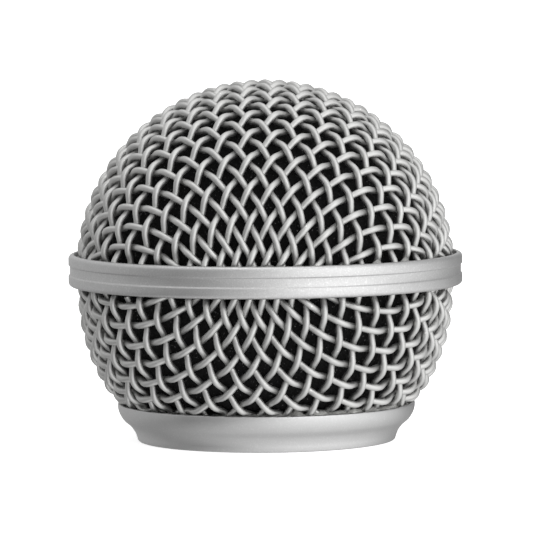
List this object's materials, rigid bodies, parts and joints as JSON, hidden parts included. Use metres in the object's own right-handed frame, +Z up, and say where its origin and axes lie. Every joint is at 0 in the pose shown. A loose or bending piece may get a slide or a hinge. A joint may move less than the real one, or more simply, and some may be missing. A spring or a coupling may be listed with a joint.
{
  "type": "handheld vocal microphone grille head",
  "caption": "Ball-shaped woven wire grille head for a handheld dynamic microphone, with a grooved centre band, a threaded ogee collar and a foam liner.",
  "frame": {"origin": "centre of the collar's flat bottom face, on the thread's axis", "axes": "+Z up along the thread's axis, from the collar to the top of the dome; +X to the right when the head is seen along +Y"},
  "size_m": [0.051, 0.051, 0.0467],
  "materials": {
    "wire_nickel": "satin grey nickel plate on crimped steel wire",
    "blasted_nickel": "fine bead-blasted satin nickel",
    "plain_steel": "plain rolled steel strip",
    "resin": "glossy translucent grey bonding resin",
    "foam": "near-black open-cell foam"
  },
  "bodies": {
    "root": {"dome_warp_wires": "wire_nickel", "dome_weft_wires": "wire_nickel", "bowl_warp_wires": "wire_nickel", "bowl_weft_wires": "wire_nickel", "centre_band": "blasted_nickel", "clamp_ring": "plain_steel", "base_collar": "blasted_nickel", "collar_bond": "resin", "band_bond_upper": "resin", "band_bond_lower": "resin", "foam_dome": "foam", "foam_skirt": "foam"}
  },
  "joints": []
}
